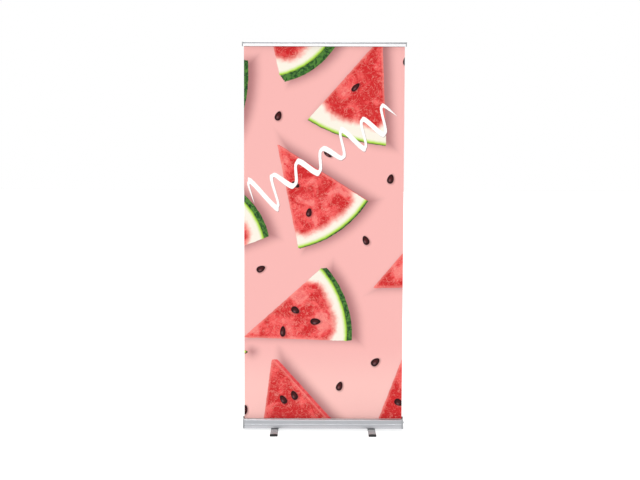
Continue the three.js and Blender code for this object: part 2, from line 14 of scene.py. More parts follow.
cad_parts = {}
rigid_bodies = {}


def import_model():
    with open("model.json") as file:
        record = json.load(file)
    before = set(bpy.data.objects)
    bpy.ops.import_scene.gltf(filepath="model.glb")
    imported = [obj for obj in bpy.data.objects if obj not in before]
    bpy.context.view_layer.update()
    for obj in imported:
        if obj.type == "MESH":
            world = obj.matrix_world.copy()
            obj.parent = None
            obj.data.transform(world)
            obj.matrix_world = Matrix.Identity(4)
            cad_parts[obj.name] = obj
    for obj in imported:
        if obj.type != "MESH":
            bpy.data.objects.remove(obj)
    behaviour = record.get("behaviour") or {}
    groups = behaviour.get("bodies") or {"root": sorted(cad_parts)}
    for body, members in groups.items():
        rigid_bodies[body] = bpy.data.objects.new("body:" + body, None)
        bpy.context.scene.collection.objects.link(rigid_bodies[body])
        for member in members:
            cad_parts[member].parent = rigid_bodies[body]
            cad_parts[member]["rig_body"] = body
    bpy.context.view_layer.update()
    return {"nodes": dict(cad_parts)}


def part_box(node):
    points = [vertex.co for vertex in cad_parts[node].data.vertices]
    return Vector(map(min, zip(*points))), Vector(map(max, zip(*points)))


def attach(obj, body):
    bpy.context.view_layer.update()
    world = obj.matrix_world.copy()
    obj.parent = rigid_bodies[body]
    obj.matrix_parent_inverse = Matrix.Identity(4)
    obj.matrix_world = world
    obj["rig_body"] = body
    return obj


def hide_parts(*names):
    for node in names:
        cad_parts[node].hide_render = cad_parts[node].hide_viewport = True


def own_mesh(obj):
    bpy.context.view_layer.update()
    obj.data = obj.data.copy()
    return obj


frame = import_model()
MM = 0.001

FILM_LOW, FILM_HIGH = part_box("banner")
FILM_MIDDLE = (FILM_LOW + FILM_HIGH) / 2
RAIL_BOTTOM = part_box("rail_body")[0].z
GRIP_LOW, GRIP_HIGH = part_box("jaw_grip_strip")
SLOT_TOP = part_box("cassette_housing")[1].z


# ---------------------------------------------------------------- nodes


def srgb(red, green, blue):
    """A scene-linear colour from 8-bit display values."""
    values = [v / 255 for v in (red, green, blue)]
    linear = [v / 12.92 if v <= 0.04045 else ((v + 0.055) / 1.055) ** 2.4 for v in values]
    return (*linear, 1.0)


class Nodes:
    """Short ways to place and link the nodes of one tree."""

    def __init__(self, tree):
        self.tree = tree

    def feed(self, socket, value):
        """Links a socket to another, or sets it to a plain value."""
        if isinstance(value, bpy.types.NodeSocket):
            self.tree.links.new(value, socket)
        else:
            socket.default_value = value

    def put(self, kind, feeds=None, **settings):
        """A new node with its settings made and its inputs fed."""
        node = self.tree.nodes.new("ShaderNode" + kind)
        for name, value in settings.items():
            setattr(node, name, value)
        for socket, value in (feeds or {}).items():
            self.feed(node.inputs[socket], value)
        return node

    def use(self, group, feeds):
        """The outputs of a node group placed in this tree."""
        node = self.put("Group", node_tree=group)
        for socket, value in feeds.items():
            self.feed(node.inputs[socket], value)
        return node.outputs

    def math(self, operation, *values, clamp=False):
        feeds = dict(enumerate(values))
        return self.put("Math", feeds, operation=operation, use_clamp=clamp).outputs[0]

    def vector(self, operation, *values):
        node = self.put("VectorMath", dict(enumerate(values)), operation=operation)
        number = operation in ("DOT_PRODUCT", "LENGTH")
        return node.outputs["Value" if number else "Vector"]

    def scaled(self, vector, factor):
        node = self.put("VectorMath", {0: vector, "Scale": factor}, operation="SCALE")
        return node.outputs["Vector"]

    def rise(self, value, low, high):
        """0 up to low, 1 from high on, smooth between them."""
        feeds = {"Value": value, "From Min": low, "From Max": high}
        return self.put("MapRange", feeds, interpolation_type="SMOOTHSTEP").outputs["Result"]

    def fall(self, value, low, high):
        """1 up to low, 0 from high on, smooth between them."""
        return self.math("SUBTRACT", 1.0, self.rise(value, low, high))

    def mix(self, share, first, second):
        """The first colour at share 0, the second at share 1."""
        factor, colour_a, colour_b, colour = 0, 6, 7, 2
        feeds = {factor: share, colour_a: first, colour_b: second}
        return self.put("Mix", feeds, data_type="RGBA").outputs[colour]

    def noise(self, point, scale, detail=2.0, roughness=0.5, distortion=0.0):
        feeds = {
            "Vector": point,
            "Scale": scale,
            "Detail": detail,
            "Roughness": roughness,
            "Distortion": distortion,
        }
        return self.put("TexNoise", feeds).outputs


def new_group(name, inputs, outputs):
    """An empty node group: its tree, a Nodes for it, its input sockets and its output sockets."""
    tree = bpy.data.node_groups.new(name, "ShaderNodeTree")
    for socket, kind in inputs.items():
        tree.interface.new_socket(socket, in_out="INPUT", socket_type="NodeSocket" + kind)
    for socket, kind in outputs.items():
        tree.interface.new_socket(socket, in_out="OUTPUT", socket_type="NodeSocket" + kind)
    entry = tree.nodes.new("NodeGroupInput")
    leave = tree.nodes.new("NodeGroupOutput")
    return tree, Nodes(tree), entry.outputs, leave.inputs


# ---------------------------------------------------------------- shared surface effects


def drawn_lines_group():
    """Fine lines along a drawn or brushed metal, from coordinates squeezed across the lines."""
    inputs = {"Point": "Vector", "Stretch": "Vector"}
    outputs = {"Lines": "Float", "Height": "Float"}
    tree, n, given, result = new_group("drawn_lines", inputs, outputs)
    squeezed = n.vector("MULTIPLY", given["Point"], given["Stretch"])
    broad = n.noise(squeezed, 1.0, detail=3.0, roughness=0.6)[0]
    fine = n.noise(squeezed, 4.0, detail=2.0, roughness=0.7)[0]
    lines = n.math("MULTIPLY_ADD", fine, 0.45, n.math("MULTIPLY", broad, 0.55))
    n.feed(result["Lines"], lines)
    n.feed(result["Height"], fine)
    return tree


def handling_group():
    """Faint smudges and dust from handling. Marks is centred on 0."""
    inputs = {"Point": "Vector", "Size": "Float"}
    tree, n, given, result = new_group("handling_marks", inputs, {"Marks": "Float"})
    scale = n.math("DIVIDE", 1.0, given["Size"])
    cloud = n.noise(given["Point"], scale, detail=5.0, roughness=0.62, distortion=0.6)[0]
    n.feed(result["Marks"], n.math("SUBTRACT", cloud, 0.5))
    return tree


def worn_edge_group():
    """How much a point lies on a rounded edge, broken up by noise."""
    inputs = {"Point": "Vector", "Width": "Float"}
    tree, n, given, result = new_group("worn_edge", inputs, {"Edge": "Float"})
    rounded = n.put("Bevel", {"Radius": given["Width"]}, samples=4).outputs[0]
    flat = n.put("NewGeometry").outputs["Normal"]
    turn = n.math("SUBTRACT", 1.0, n.vector("DOT_PRODUCT", rounded, flat))
    patches = n.noise(given["Point"], 260.0, detail=3.0)[0]
    edge = n.math("MULTIPLY", n.rise(turn, 0.01, 0.12), n.rise(patches, 0.38, 0.62))
    n.feed(result["Edge"], edge)
    return tree


def moulded_group():
    """The fine spark-eroded grain of a plastic moulding."""
    inputs = {"Point": "Vector", "Grain": "Float"}
    tree, n, given, result = new_group("moulded_grain", inputs, {"Height": "Float"})
    scale = n.math("DIVIDE", 1.0, given["Grain"])
    bumps = n.noise(given["Point"], scale, detail=3.0, roughness=0.65)[0]
    cells = n.put("TexVoronoi", {"Vector": given["Point"], "Scale": scale}).outputs["Distance"]
    n.feed(result["Height"], n.math("MULTIPLY_ADD", cells, 0.35, bumps))
    return tree


LINES_ACROSS, LINES_ALONG = 900.0, 6.0
DRAWN_LINES = drawn_lines_group()
HANDLING = handling_group()
WORN_EDGE = worn_edge_group()
MOULDED = moulded_group()


def new_material(name):
    """A material, a Nodes for its tree and its Principled shader."""
    material = bpy.data.materials.new(name)
    material.use_nodes = True
    n = Nodes(material.node_tree)
    shader = material.node_tree.nodes["Principled BSDF"]
    return material, n, shader


def object_point(n):
    """The point's place in metres, the same for every piece."""
    return n.put("TexCoord").outputs["Object"]


def bumped(n, shader, height, strength, distance):
    """Gives a shader fine relief from a height."""
    feeds = {"Height": height, "Strength": strength, "Distance": distance}
    n.feed(shader.inputs["Normal"], n.put("Bump", feeds).outputs["Normal"])


def metal(name, colour, worn, along, roughness, shine=1.0, lines=0.25):
    """Drawn or rolled metal with fine lines along one axis."""
    material, n, shader = new_material(name)
    point = object_point(n)
    stretch = [LINES_ACROSS] * 3
    stretch["XYZ".index(along)] = LINES_ALONG
    drawn = n.use(DRAWN_LINES, {"Point": point, "Stretch": stretch})
    marks = n.use(HANDLING, {"Point": point, "Size": 0.09})["Marks"]
    edge = n.use(WORN_EDGE, {"Point": point, "Width": 0.5 * MM})["Edge"]
    dark = tuple(c * 0.78 for c in colour[:3]) + (1.0,)
    lined = n.mix(n.rise(drawn["Lines"], 0.32, 0.68), dark, colour)
    lined = n.mix(lines, colour, lined)
    smudged = n.mix(n.math("ABSOLUTE", marks, clamp=True), lined, dark)
    n.feed(shader.inputs["Base Color"], n.mix(edge, smudged, worn))
    rough = n.math("MULTIPLY_ADD", drawn["Lines"], 0.12, roughness - 0.06)
    rough = n.math("MULTIPLY_ADD", marks, 0.25, rough)
    n.feed(shader.inputs["Roughness"], n.math("MAXIMUM", rough, 0.08))
    shader.inputs["Metallic"].default_value = shine
    bumped(n, shader, drawn["Height"], 0.06, 0.02 * MM)
    return material


def plastic(name, colour, roughness, grain=0.35 * MM, depth=0.03 * MM, rubbed=1.6):
    """A moulding with a fine grain, faint marks and rubbed edges."""
    material, n, shader = new_material(name)
    point = object_point(n)
    marks = n.use(HANDLING, {"Point": point, "Size": 0.03})["Marks"]
    edge = n.use(WORN_EDGE, {"Point": point, "Width": 0.6 * MM})["Edge"]
    height = n.use(MOULDED, {"Point": point, "Grain": grain})["Height"]
    pale = tuple(min(1.0, c * rubbed + 0.012) for c in colour[:3]) + (1.0,)
    dust = tuple(0.9 * c + 0.008 for c in colour[:3]) + (1.0,)
    dusty = n.mix(n.rise(marks, -0.05, 0.2), colour, dust)
    n.feed(shader.inputs["Base Color"], n.mix(n.math("MULTIPLY", edge, 0.6), dusty, pale))
    rough = n.math("MULTIPLY_ADD", marks, 0.3, roughness)
    n.feed(shader.inputs["Roughness"], n.math("MULTIPLY_ADD", height, 0.08, rough))
    bumped(n, shader, height, 0.5, depth)
    return material


# ---------------------------------------------------------------- the print


SLICE_SHAPE = {
    "Tip": "Vector",
    "First cut": "Vector",
    "Second cut": "Vector",
    "Rim centre": "Vector",
    "Radius": "Float",
    "Bluntness": "Float",
}
RIM_BLUNTNESS = 3 * MM


def sector_group():
    """How deep a point lies inside a pie slice, inside its two cuts, and inside its round edge."""
    inputs = {"Point": "Vector", **SLICE_SHAPE}
    outputs = {"Inside": "Float", "Wedge": "Float", "Rim": "Float"}
    tree, n, given, result = new_group("pie_slice", inputs, outputs)
    from_tip = n.vector("SUBTRACT", given["Point"], given["Tip"])
    first = n.vector("DOT_PRODUCT", from_tip, given["First cut"])
    second = n.vector("DOT_PRODUCT", from_tip, given["Second cut"])
    from_centre = n.vector("SUBTRACT", given["Point"], given["Rim centre"])
    rim = n.math("SUBTRACT", given["Radius"], n.vector("LENGTH", from_centre))
    wedge = n.math("SMOOTH_MIN", first, second, given["Bluntness"])
    n.feed(result["Inside"], n.math("SMOOTH_MIN", wedge, rim, RIM_BLUNTNESS))
    n.feed(result["Wedge"], wedge)
    n.feed(result["Rim"], rim)
    return tree


SLICE_TOTALS = ["Face", "Rim depth", "Cut depth", "Flesh depth", "Rind", "Side", "Shade"]
SWEEP_STEPS = (0.25, 0.5, 0.75, 1.0)
SHADOW_FALL = (0.034, 0.002, 0.0)
SHADOW_EDGE = (-0.060, 0.030)
SLICE_EDGE = 0.9 * MM
PITH_CORNER, CORNER_PITH = 55 * MM, 30 * MM


def slice_group(sector):
    """Adds one melon slice, lying flat and seen a little from one side, to the running totals."""
    inputs = {"Point": "Vector", **SLICE_SHAPE, "Pith": "Float", "Drop": "Vector"}
    inputs.update({total: "Float" for total in SLICE_TOTALS})
    outputs = {total: "Float" for total in SLICE_TOTALS}
    tree, n, given, result = new_group("melon_slice", inputs, outputs)

    def outline(moved):
        """How deep the point lies in the slice's outline, moved."""
        feeds = {name: given[name] for name in SLICE_SHAPE}
        feeds["Point"] = n.vector("SUBTRACT", given["Point"], moved)
        return n.use(sector, feeds)

    edge = SLICE_EDGE
    top = outline((0, 0, 0))
    cast = outline(n.vector("ADD", given["Drop"], SHADOW_FALL))
    face = n.rise(top["Inside"], -edge, edge)
    below = face
    for step in SWEEP_STEPS:
        low = outline(n.scaled(given["Drop"], step))
        below = n.math("MAXIMUM", below, n.rise(low["Inside"], -edge, edge))
    side = n.math("SUBTRACT", below, face)
    rind = n.math("MULTIPLY", side, n.fall(top["Rim"], -edge, edge))
    near_cut = n.fall(top["Wedge"], 0.0, PITH_CORNER)
    pith = n.math("MULTIPLY_ADD", near_cut, CORNER_PITH, given["Pith"])
    sums = {
        "Face": face,
        "Rim depth": n.math("MULTIPLY", face, top["Rim"]),
        "Cut depth": n.math("MULTIPLY", face, top["Wedge"]),
        "Flesh depth": n.math("MULTIPLY", face, n.math("SUBTRACT", top["Rim"], pith)),
        "Rind": rind,
        "Side": n.math("SUBTRACT", side, rind),
    }
    for total, value in sums.items():
        n.feed(result[total], n.math("ADD", given[total], value))
    shade = n.rise(cast["Inside"], *SHADOW_EDGE)
    n.feed(result["Shade"], n.math("MAXIMUM", given["Shade"], shade))
    return tree


def seed_group():
    """Lays one melon seed over a colour. Along and Across are 1 at its ends and its sides."""
    inputs = {"Under": "Color"}
    inputs.update({name: "Vector" for name in ("Point", "Centre", "Along", "Across")})
    tree, n, given, result = new_group("melon_seed", inputs, {"Colour": "Color"})

    def distance(moved):
        """0 at the seed's middle and 1 at its outline, moved."""
        centred = n.vector("SUBTRACT", given["Point"], given["Centre"])
        centred = n.vector("SUBTRACT", centred, moved)
        along = n.vector("DOT_PRODUCT", centred, given["Along"])
        across = n.vector("DOT_PRODUCT", centred, given["Across"])
        # Narrower towards one end.
        across = n.math("MULTIPLY", across, n.math("MULTIPLY_ADD", along, 0.22, 1.06))
        squares = n.math("MULTIPLY_ADD", along, along, n.math("MULTIPLY", across, across))
        return n.math("SQRT", squares)

    middle = distance((0, 0, 0))
    glint = distance((-4.5 * MM, -8 * MM, 0))
    shadow = distance((4 * MM, -2 * MM, 0))
    speckle = n.noise(given["Point"], 210.0, detail=2.0)[0]
    shaded = n.mix(
        n.math("MULTIPLY", n.fall(shadow, 0.75, 1.45), 0.5), given["Under"], srgb(120, 56, 58)
    )
    hull = n.mix(n.rise(middle, 0.2, 0.95), srgb(78, 24, 26), srgb(26, 6, 9))
    hull = n.mix(n.math("MULTIPLY", n.rise(speckle, 0.42, 0.7), 0.45), hull, srgb(26, 10, 12))
    hull = n.mix(n.math("MULTIPLY", n.fall(glint, 0.0, 0.5), 0.45), hull, srgb(150, 112, 116))
    n.feed(result["Colour"], n.mix(n.fall(middle, 0.93, 1.04), shaded, hull))
    return tree


BRUSH_WAVE = 137 * MM
BRUSH_THIN = 7.5 * MM
BRUSH_PRESS = 7.0 * MM
BRUSH_HEIGHT, BRUSH_SWAY = 47 * MM, 7 * MM
FIRST_SWELL, LAST_SWELL = 45 * MM, 18 * MM


def brush_line_group():
    """The mask of a wavy line drawn with a flat brush. Start is its beginning."""
    inputs = {name: "Vector" for name in ("Point", "Start", "Along", "Across")}
    inputs["Length"] = "Float"
    tree, n, given, result = new_group("brush_line", inputs, {"Mask": "Float"})
    wave = 2 * math.pi / BRUSH_WAVE
    from_start = n.vector("SUBTRACT", given["Point"], given["Start"])
    rough_edge = n.math("SUBTRACT", n.noise(given["Point"], 90.0, detail=3.0)[0], 0.5)
    along = n.vector("DOT_PRODUCT", from_start, given["Along"])
    across = n.vector("DOT_PRODUCT", from_start, given["Across"])
    slow = n.math("SINE", n.math("MULTIPLY", along, 9.0))
    phase = n.math("MULTIPLY_ADD", along, wave, n.math("MULTIPLY", slow, 0.5))
    swell = n.math("MULTIPLY", n.fall(along, 0.05, 0.24), FIRST_SWELL)
    swell = n.math("ADD", swell, n.math("MULTIPLY", n.rise(along, 0.46, 0.60), LAST_SWELL))
    sway = n.math("SINE", n.math("MULTIPLY", along, 23.0))
    height = n.math("ADD", n.math("MULTIPLY_ADD", sway, BRUSH_SWAY, BRUSH_HEIGHT), swell)
    centre = n.math("MULTIPLY", height, n.math("SINE", phase))
    slope = n.math("MULTIPLY", n.math("MULTIPLY", height, wave), n.math("COSINE", phase))
    steep = n.math("SQRT", n.math("MULTIPLY_ADD", slope, slope, 1.0))
    away = n.math("DIVIDE", n.math("ABSOLUTE", n.math("SUBTRACT", across, centre)), steep)
    # The brush is pressed on the way down and lifted on the way up.
    pressed = n.fall(slope, -1.6, 1.2)
    width = n.math("MULTIPLY_ADD", pressed, BRUSH_PRESS, BRUSH_THIN)
    width = n.math("MULTIPLY_ADD", rough_edge, 3.0 * MM, width)
    width = n.math("MULTIPLY", width, n.rise(along, -0.012, 0.03))
    left = n.math("SUBTRACT", given["Length"], along)
    width = n.math("MULTIPLY", width, n.rise(left, -0.012, 0.05))
    over = n.math("SUBTRACT", width, away)
    drawn = n.math("MULTIPLY", n.rise(along, -0.004, 0.0), n.rise(left, -0.004, 0.0))
    n.feed(result["Mask"], n.math("MULTIPLY", n.rise(over, -0.6 * MM, 0.9 * MM), drawn))
    return tree


# Each slice as its tip (x, z), the directions of its two cuts in degrees from +X, the centre and
# radius of its round edge, how far its underside shows beyond its top, the depth of its pale pith
# and the bluntness of its tip, all in metres on the film.
SLICES = [
    ((-0.327, 2.315), (-77.7, -28.0), (-0.327, 2.315), 0.427, (0.026, -0.032), 0.066, 0.006),
    ((0.306, 2.107), (-131.8, -87.6), (0.420, 2.515), 0.987, (-0.002, -0.003), 0.086, 0.006),
    ((-0.249, 1.536), (-78.4, -31.8), (-0.260, 1.550), 0.580, (0.008, -0.002), 0.060, 0.006),
    ((-0.774, 0.866), (20.4, 64.0), (-0.731, 0.940), 0.423, (0.027, 0.011), 0.068, 0.006),
    ((-0.431, 0.501), (-1.8, 41.8), (-0.416, 0.514), 0.543, (0.027, 0.003), 0.066, 0.006),
    ((0.266, 0.771), (1.9, 50.0), (0.266, 0.771), 0.560, (0.005, -0.002), 0.060, 0.008),
    ((-0.277, 0.394), (-97.3, -48.0), (-0.277, 0.394), 0.560, (0.019, 0.001), 0.060, 0.035),
    ((0.424, 0.387), (-110.7, -64.0), (0.424, 0.387), 0.560, (0.004, 0.0), 0.060, 0.006),
    ((-0.939, 1.930), (-40.0, 5.9), (-1.183, 1.916), 0.758, (0.024, -0.005), 0.060, 0.006),
    ((-0.410, 0.424), (150.0, 215.0), (-0.424, 0.424), 0.010, (0.008, -0.002), 0.060, 0.006),
]

# Each seed as its centre (x, z), length, width and the direction of its length in degrees.
SEEDS = [
    ((-0.243, 1.686), 0.052, 0.037, 70),
    ((0.166, 1.838), 0.057, 0.028, 45),
    ((0.022, 1.488), 0.052, 0.034, -45),
    ((-0.151, 1.322), 0.045, 0.030, -30),
    ((-0.079, 1.174), 0.047, 0.032, 80),
    ((0.355, 1.354), 0.052, 0.037, 75),
    ((0.225, 1.026), 0.052, 0.036, 115),
    ((-0.336, 0.871), 0.050, 0.036, 28),
    ((-0.151, 0.649), 0.048, 0.037, -35),
    ((-0.043, 0.588), 0.056, 0.037, 0),
    ((-0.218, 0.534), 0.059, 0.031, 88),
    ((0.088, 0.237), 0.052, 0.036, 70),
    ((0.281, 0.369), 0.054, 0.040, 42),
    ((-0.215, 0.163), 0.053, 0.034, 125),
    ((-0.156, 0.186), 0.053, 0.036, 115),
    ((-0.425, 0.105), 0.055, 0.036, 75),
    ((0.408, 0.149), 0.050, 0.037, -30),
    ((0.433, 1.976), 0.050, 0.036, 85),
]
BRUSH_START = (-0.375, 1.235)
BRUSH_END = (0.375, 1.700)
BRUSH_SHADOW = (2.6 * MM, -2.6 * MM, 0.0)


def direction(degrees, size=1.0):
    """A vector of one size on the film, turned from +X."""
    turn = math.radians(degrees)
    return (math.cos(turn) * size, math.sin(turn) * size, 0.0)


def melon_colours(n, point, totals):
    """The colour of the ground and the slices, from the slices' totals."""
    broad = n.noise(point, 9.5, detail=3.0, roughness=0.45, distortion=0.7)[0]
    mottle = n.noise(point, 34.0, detail=4.0, roughness=0.6, distortion=0.8)[0]
    grain = n.noise(point, 150.0, detail=3.0, roughness=0.6)[0]
    strands = n.noise(point, 17.0, detail=2.0, roughness=0.5, distortion=1.6)[0]
    curls = n.noise(point, 30.0, detail=2.0, roughness=0.5, distortion=1.1)[0]
    sacs = n.put("TexVoronoi", {"Vector": point, "Scale": 420.0}, voronoi_dimensions="2D")
    off_strand = n.math("ABSOLUTE", n.math("SUBTRACT", strands, 0.5))
    height = n.put("SeparateXYZ", {0: point}).outputs["Y"]

    ground = n.mix(n.rise(height, 0.22, 0.48), srgb(246, 193, 187), srgb(241, 180, 176))
    shade = n.math("POWER", totals["Shade"], 1.45)
    ground = n.mix(n.math("MULTIPLY", shade, 0.85), ground, srgb(160, 104, 106))

    # Riper towards the top and the bottom of the print, and paler in streaks and curls.
    off_middle = n.math("ABSOLUTE", n.math("SUBTRACT", height, 1.0))
    ripe = n.math("MULTIPLY_ADD", n.rise(off_middle, 0.45, 0.75), 0.10, broad)
    blotch = n.math("MULTIPLY_ADD", n.math("SUBTRACT", mottle, 0.5), 0.20, ripe)
    flesh = n.mix(n.rise(mottle, 0.30, 0.70), srgb(238, 92, 88), srgb(222, 46, 54))
    flesh = n.mix(n.math("MULTIPLY", n.rise(blotch, 0.47, 0.60), 0.97), flesh, srgb(200, 0, 14))
    flesh = n.mix(n.math("MULTIPLY", n.fall(blotch, 0.35, 0.46), 0.50), flesh, srgb(246, 150, 142))
    strand = n.math("MULTIPLY", n.fall(off_strand, 0.0, 0.022), 0.34)
    flesh = n.mix(strand, flesh, srgb(250, 168, 152))
    off_curl = n.math("ABSOLUTE", n.math("SUBTRACT", curls, 0.5))
    curl = n.math("MULTIPLY", n.fall(off_curl, 0.0, 0.045), n.rise(mottle, 0.42, 0.60))
    flesh = n.mix(n.math("MULTIPLY", curl, 0.34), flesh, srgb(252, 182, 168))
    flesh = n.mix(n.math("MULTIPLY", n.rise(grain, 0.54, 0.72), 0.35), flesh, srgb(190, 16, 30))
    flesh = n.mix(n.math("MULTIPLY", n.fall(grain, 0.28, 0.42), 0.16), flesh, srgb(252, 176, 162))
    juicy = n.fall(sacs.outputs["Distance"], 0.1, 0.6)
    flesh = n.mix(n.math("MULTIPLY", juicy, 0.08), flesh, srgb(255, 196, 186))
    cut_edge = n.math("MULTIPLY", n.fall(totals["Cut depth"], 1 * MM, 16 * MM), 0.45)
    flesh = n.mix(cut_edge, flesh, srgb(246, 152, 142))

    ragged = n.math("MULTIPLY_ADD", n.math("SUBTRACT", mottle, 0.5), 0.030, totals["Flesh depth"])
    ragged = n.math("MULTIPLY_ADD", n.math("SUBTRACT", broad, 0.5), 0.045, ragged)
    rim = totals["Rim depth"]
    pith = n.mix(n.rise(rim, 8 * MM, 24 * MM), srgb(206, 228, 138), srgb(243, 236, 222))
    pith = n.mix(n.rise(ragged, -28 * MM, 6 * MM), pith, srgb(246, 172, 160))
    face = n.mix(n.rise(ragged, -12 * MM, 24 * MM), pith, flesh)
    face = n.mix(n.fall(rim, 4 * MM, 12 * MM), face, srgb(164, 208, 62))
    face = n.mix(n.fall(rim, 0.5 * MM, 5 * MM), face, srgb(104, 162, 44))

    stripes = n.noise(point, 42.0, detail=3.0, roughness=0.55, distortion=1.2)[0]
    rind = n.mix(n.rise(stripes, 0.36, 0.62), srgb(28, 66, 34), srgb(80, 128, 54))
    side = n.mix(n.rise(mottle, 0.3, 0.7), srgb(233, 92, 92), srgb(212, 56, 62))
    coloured = n.mix(totals["Face"], ground, face)
    coloured = n.mix(totals["Side"], coloured, side)
    return n.mix(totals["Rind"], coloured, rind)


def print_material():
    """The printed side of the film. Its UV map is the place on the film in metres."""
    sector = sector_group()
    melon_slice = slice_group(sector)
    melon_seed = seed_group()
    brush_line = brush_line_group()
    material, n, shader = new_material("printed_film")
    point = n.put("UVMap", uv_map="print").outputs["UV"]
    coarse = n.vector("SUBTRACT", n.noise(point, 26.0, detail=2.0)[1], (0.5, 0.5, 0.5))
    fine = n.vector("SUBTRACT", n.noise(point, 130.0, detail=2.0)[1], (0.5, 0.5, 0.5))
    wavered = n.vector("ADD", point, n.scaled(coarse, 6 * MM))
    wavered = n.vector("ADD", wavered, n.scaled(fine, 2.5 * MM))

    totals = {}
    for tip, (first, second), centre, radius, drop, pith, bluntness in SLICES:
        feeds = {
            "Point": wavered,
            "Tip": (*tip, 0.0),
            "First cut": direction(first + 90),
            "Second cut": direction(second - 90),
            "Rim centre": (*centre, 0.0),
            "Radius": radius,
            "Bluntness": bluntness,
            "Pith": pith,
            "Drop": (*drop, 0.0),
        }
        outputs = n.use(melon_slice, {**feeds, **totals})
        totals = {total: outputs[total] for total in SLICE_TOTALS}
    colour = melon_colours(n, point, totals)

    for (x, z), length, width, turn in SEEDS:
        feeds = {
            "Under": colour,
            "Point": point,
            "Centre": (x, z, 0.0),
            "Along": direction(turn, 2 / length),
            "Across": direction(turn + 90, 2 / width),
        }
        colour = n.use(melon_seed, feeds)["Colour"]

    run = Vector(BRUSH_END) - Vector(BRUSH_START)
    slant = math.degrees(math.atan2(run.y, run.x))
    feeds = {
        "Start": (*BRUSH_START, 0.0),
        "Along": direction(slant),
        "Across": direction(slant + 90),
        "Length": run.length,
    }
    behind = n.vector("SUBTRACT", point, BRUSH_SHADOW)
    shadow = n.use(brush_line, {"Point": behind, **feeds})["Mask"]
    line = n.use(brush_line, {"Point": point, **feeds})["Mask"]
    colour = n.mix(n.math("MULTIPLY", shadow, 0.6), colour, srgb(120, 70, 78))
    colour = n.mix(line, colour, srgb(255, 253, 251))

    n.feed(shader.inputs["Base Color"], colour)
    marks = n.use(HANDLING, {"Point": point, "Size": 0.2})["Marks"]
    n.feed(shader.inputs["Roughness"], n.math("MULTIPLY_ADD", marks, 0.12, 0.46))
    shader.inputs["Specular IOR Level"].default_value = 0.12
    tooth = n.noise(point, 1500.0, detail=2.0)[0]
    bumped(n, shader, tooth, 0.12, 0.02 * MM)
    return material


def film_back_material():
    """The plain grey block-out side of the film."""
    material, n, shader = new_material("film_back")
    point = n.put("UVMap", uv_map="print").outputs["UV"]
    marks = n.use(HANDLING, {"Point": point, "Size": 0.25})["Marks"]
    rolled = n.noise(n.vector("MULTIPLY", point, (2.0, 60.0, 1.0)), 1.0, detail=2.0)[0]
    tone = n.math("MULTIPLY_ADD", rolled, 0.3, marks, clamp=True)
    n.feed(shader.inputs["Base Color"], n.mix(tone, srgb(176, 178, 181), srgb(158, 160, 164)))
    n.feed(shader.inputs["Roughness"], n.math("MULTIPLY_ADD", marks, 0.2, 0.5))
    bumped(n, shader, n.noise(point, 1200.0, detail=2.0)[0], 0.15, 0.02 * MM)
    return material


ALUMINIUM = metal("anodised_aluminium", srgb(186, 188, 192), srgb(208, 210, 213), "X", 0.42)
# The rail body's aluminium is a darker copy: painted shade for the grey band along the rail's top.
RAIL_PAINTED_SHADE_ALUMINIUM = metal("rail_aluminium_painted_shade", srgb(158, 159, 163), srgb(206, 208, 210), "X", 0.34)
POLE_ALUMINIUM = metal("pole_aluminium", srgb(190, 192, 195), srgb(226, 228, 230), "Z", 0.30)
FOOT_ALUMINIUM = metal(
    "foot_aluminium", srgb(152, 154, 156), srgb(184, 188, 190), "Y", 0.60, shine=0.25
)
# The jaw's near-white aluminium is a lit copy: a painted highlight for the white reflection along
# the jaw's face.
JAW_PAINTED_HIGHLIGHT_ALUMINIUM = metal(
    "bright_aluminium", srgb(246, 246, 247), srgb(252, 252, 252), "X", 0.42, shine=0.25, lines=0.1
)
STEEL = metal("plated_steel", srgb(168, 170, 173), srgb(214, 216, 218), "Z", 0.26)
BLACK_PLASTIC = plastic("black_plastic", srgb(40, 40, 42), 0.5)
GREY_PLASTIC = plastic("grey_plastic", srgb(160, 162, 165), 0.46, rubbed=1.15)
WHITE_PLASTIC = plastic("white_plastic", srgb(236, 236, 234), 0.42, rubbed=1.05)
RUBBER = plastic("black_rubber", srgb(30, 30, 31), 0.68, grain=0.5 * MM, depth=0.05 * MM)
LEADER = plastic("leader_film", srgb(214, 218, 220), 0.2, depth=0.005 * MM, rubbed=1.02)
PRINT = print_material()
FILM_BACK = film_back_material()


# ---------------------------------------------------------------- mesh tools


def soften(mesh, width, segments=2, angle=25):
    """Rounds the edges that turn more than angle degrees."""
    limit = math.radians(angle)
    edges = [e for e in mesh.edges if len(e.link_faces) == 2 and e.calc_face_angle(0) > limit]
    bmesh.ops.bevel(
        mesh,
        geom=edges,
        offset=width,
        offset_type="OFFSET",
        segments=segments,
        profile=0.5,
        affect="EDGES",
        clamp_overlap=True,
        material=-1,
    )


def finish(name, mesh, body, material, nodes=(), smooth=32):
    """Turns a bmesh into a piece that rides on a body and stands for some CAD nodes."""
    data = bpy.data.meshes.new(name)
    mesh.to_mesh(data)
    mesh.free()
    data.polygons.foreach_set("use_smooth", [True] * len(data.polygons))
    data.set_sharp_from_angle(angle=math.radians(smooth))
    data.materials.append(material)
    piece = bpy.data.objects.new(name, data)
    bpy.context.scene.collection.objects.link(piece)
    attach(piece, body)
    if nodes:
        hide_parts(*nodes)
    return piece


def clean_copy(node):
    """A CAD node's mesh, merged and without the lines that only split its flat faces."""
    mesh = bmesh.new()
    mesh.from_mesh(frame["nodes"][node].data)
    bmesh.ops.remove_doubles(mesh, verts=mesh.verts, dist=1e-6)
    bmesh.ops.dissolve_limit(mesh, angle_limit=math.radians(1), verts=mesh.verts, edges=mesh.edges)
    return mesh


def body_of(node):
    """The name of the body that a CAD node rides on."""
    return frame["nodes"][node]["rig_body"]


